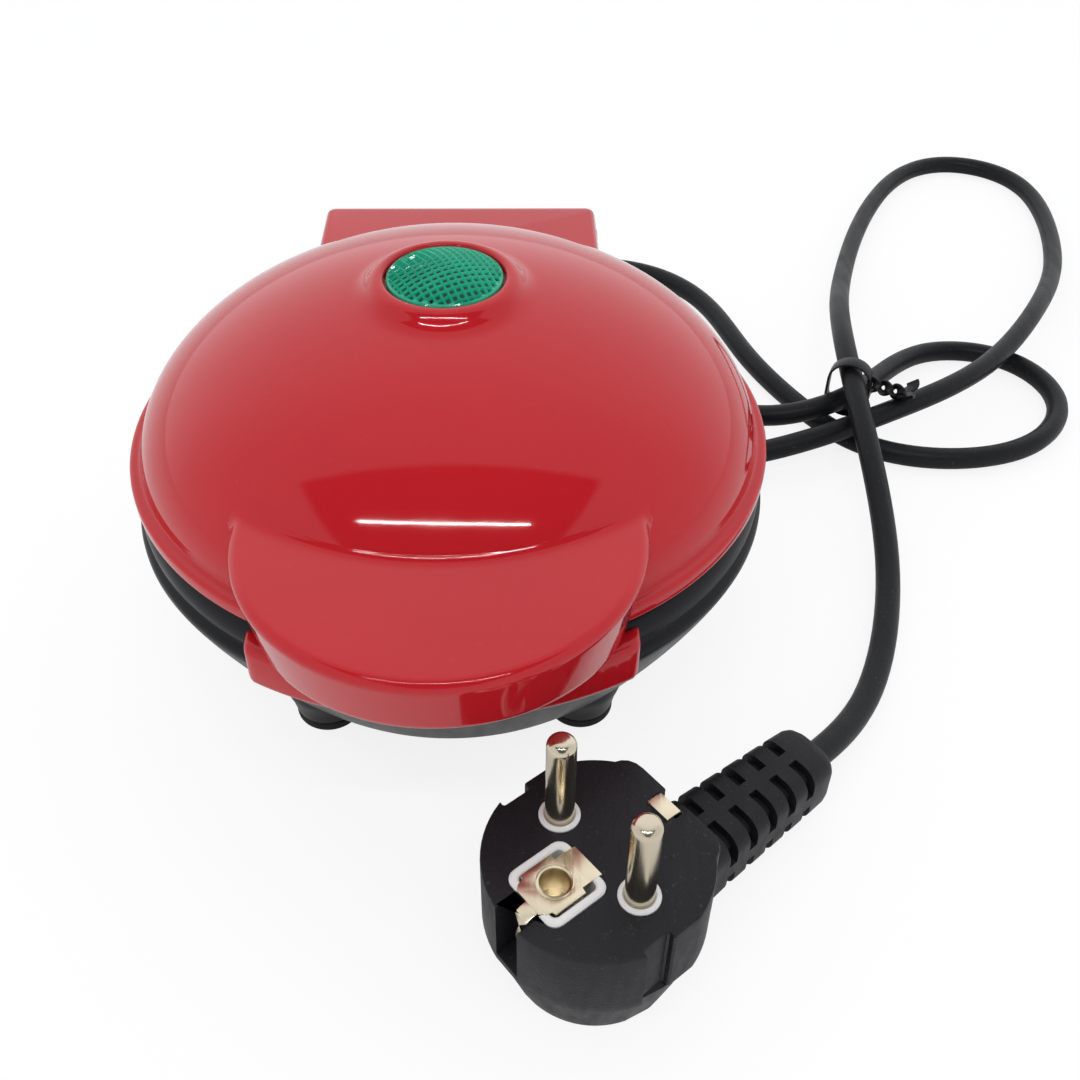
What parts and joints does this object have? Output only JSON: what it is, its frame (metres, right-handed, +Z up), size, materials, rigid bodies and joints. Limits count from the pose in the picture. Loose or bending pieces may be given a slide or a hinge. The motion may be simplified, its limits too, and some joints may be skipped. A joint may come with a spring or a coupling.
{
  "type": "taiyaki maker",
  "caption": "Round countertop cooker with a domed lid on a rear hinge, a crescent handle, a green lamp, fish-shaped cooking plates and a coiled mains lead with a moulded plug.",
  "frame": {"origin": "on the table, under the middle of the round body", "axes": "+Y from the handle to the hinge, +Z up, +X to the right seen from the handle"},
  "size_m": [0.2529, 0.3194, 0.0831],
  "materials": {
    "red_gloss": "glossy moulded plastic",
    "black_gloss": "glossy moulded plastic",
    "black_heatproof": "matt heat-resistant plastic",
    "nonstick": "satin non-stick coating on cast aluminium",
    "element_sheath": "dull annealed steel tube",
    "bright_steel": "zinc-plated steel",
    "shield_sheet": "bright pressed sheet",
    "white_ceramic": "unglazed ceramic",
    "cream_plastic": "matt plastic",
    "wire_sleeve": "matt silicone insulation",
    "foot_rubber": "matt rubber",
    "cord_black": "satin flexible sheath",
    "tie_black": "matt coated wire",
    "plug_black": "satin overmoulding",
    "plug_white": "smooth plastic",
    "pin_metal": "nickel-plated brass",
    "earth_metal": "bright brass strip",
    "green_lens": "translucent moulded lens",
    "lamp_glass": "clear glass envelope"
  },
  "bodies": {
    "base": {"base_shell": "black_gloss", "base_grip": "red_gloss", "base_frame": "black_heatproof", "lower_cooking_plate": "nonstick", "lower_heating_element": "element_sheath", "lower_element_clamp": "bright_steel", "lower_heat_shield": "shield_sheet", "thermostat": "white_ceramic", "thermal_fuse": "white_ceramic", "terminal_block": "cream_plastic", "base_wiring": "wire_sleeve", "hinge_pins": "bright_steel", "foot_pads": "foot_rubber", "base_screws": "bright_steel", "cord_gland": "cord_black", "power_cord": "cord_black", "cord_tie": "tie_black", "plug_body": "plug_black", "plug_bridge": "plug_white", "plug_pins": "pin_metal", "earth_contact": "earth_metal"},
    "lid": {"lid_shell": "red_gloss", "lid_frame": "black_heatproof", "upper_cooking_plate": "nonstick", "upper_heating_element": "element_sheath", "upper_element_clamp": "bright_steel", "upper_heat_shield": "shield_sheet", "indicator_lens": "green_lens", "lamp_holder": "black_heatproof", "indicator_lamp": "lamp_glass", "lid_wiring": "wire_sleeve", "lid_screws": "bright_steel"}
  },
  "joints": [
    {"name": "lid_hinge", "type": "hinge", "parent": "base", "child": "lid", "pos_m": [0, 0.07, 0.0455], "axis": [-1, 0, 0], "range_deg": [0, 95]}
  ]
}
